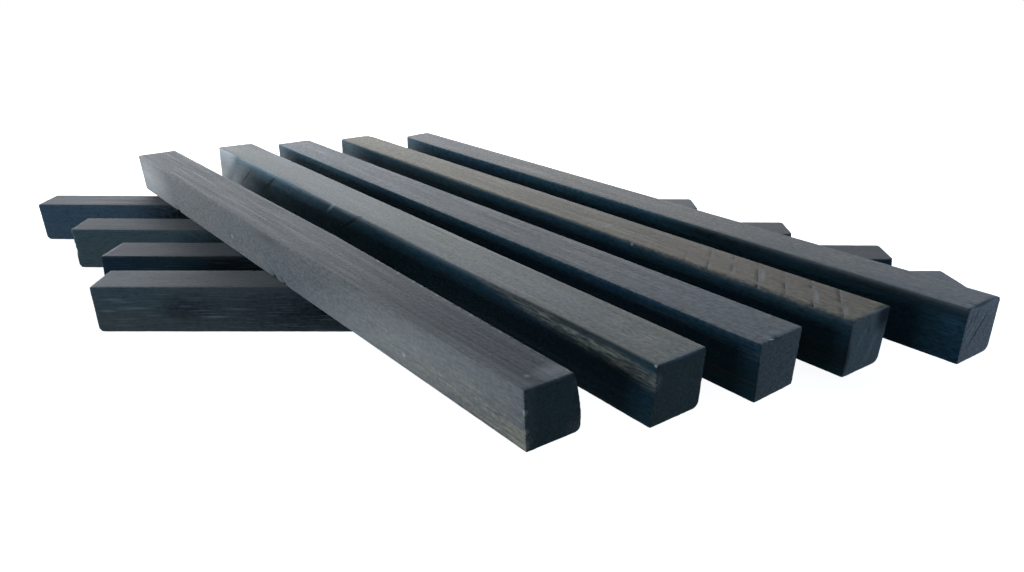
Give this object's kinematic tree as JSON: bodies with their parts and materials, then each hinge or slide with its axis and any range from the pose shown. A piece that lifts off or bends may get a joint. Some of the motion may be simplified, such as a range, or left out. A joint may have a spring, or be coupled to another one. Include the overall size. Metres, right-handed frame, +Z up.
{
  "type": "charcoal stick set",
  "caption": "Loose square drawing charcoal sticks with sawn ends, one layer laid slantwise across another; each stick slides or lifts off to draw with.",
  "frame": {"origin": "middle of the pile's box, on the surface that the lower sticks lie on", "axes": "+X along the lower sticks, +Y across them from the front stick to the back one, +Z up"},
  "size_m": [0.187, 0.1469, 0.017],
  "materials": {
    "dark_charcoal": "sawn, matt",
    "dusty_charcoal": "sawn and rubbed, dusty"
  },
  "bodies": {
    "lower_stick_1": {"lower_stick_1": "dark_charcoal"},
    "lower_stick_2": {"lower_stick_2": "dark_charcoal"},
    "lower_stick_3": {"lower_stick_3": "dark_charcoal"},
    "lower_stick_4": {"lower_stick_4": "dark_charcoal"},
    "upper_stick_1": {"upper_stick_1": "dusty_charcoal"},
    "upper_stick_2": {"upper_stick_2": "dusty_charcoal"},
    "upper_stick_3": {"upper_stick_3": "dusty_charcoal"},
    "upper_stick_4": {"upper_stick_4": "dusty_charcoal"},
    "upper_stick_5": {"upper_stick_5": "dusty_charcoal"}
  },
  "joints": [
    {"name": "lower_stick_1_slide", "type": "slide", "parent": "lower_stick_2", "child": "lower_stick_1", "axis": [1, -0.0052, 0], "range_m": [-0.025, 0.025]},
    {"name": "lower_stick_3_slide", "type": "slide", "parent": "lower_stick_2", "child": "lower_stick_3", "axis": [0.9997, -0.0262, 0], "range_m": [-0.025, 0.025]},
    {"name": "lower_stick_4_slide", "type": "slide", "parent": "lower_stick_2", "child": "lower_stick_4", "axis": [0.9996, -0.0297, 0], "range_m": [-0.025, 0.025]},
    {"name": "upper_stick_1_lift", "type": "slide", "parent": "lower_stick_2", "child": "upper_stick_1", "axis": [0, 0, 1], "range_m": [0, 0.03]},
    {"name": "upper_stick_2_lift", "type": "slide", "parent": "lower_stick_2", "child": "upper_stick_2", "axis": [0, 0, 1], "range_m": [0, 0.03]},
    {"name": "upper_stick_3_lift", "type": "slide", "parent": "lower_stick_2", "child": "upper_stick_3", "axis": [0, 0, 1], "range_m": [0, 0.03]},
    {"name": "upper_stick_4_lift", "type": "slide", "parent": "lower_stick_2", "child": "upper_stick_4", "axis": [0, 0, 1], "range_m": [0, 0.03]},
    {"name": "upper_stick_5_lift", "type": "slide", "parent": "lower_stick_2", "child": "upper_stick_5", "axis": [0, 0, 1], "range_m": [0, 0.03]}
  ]
}
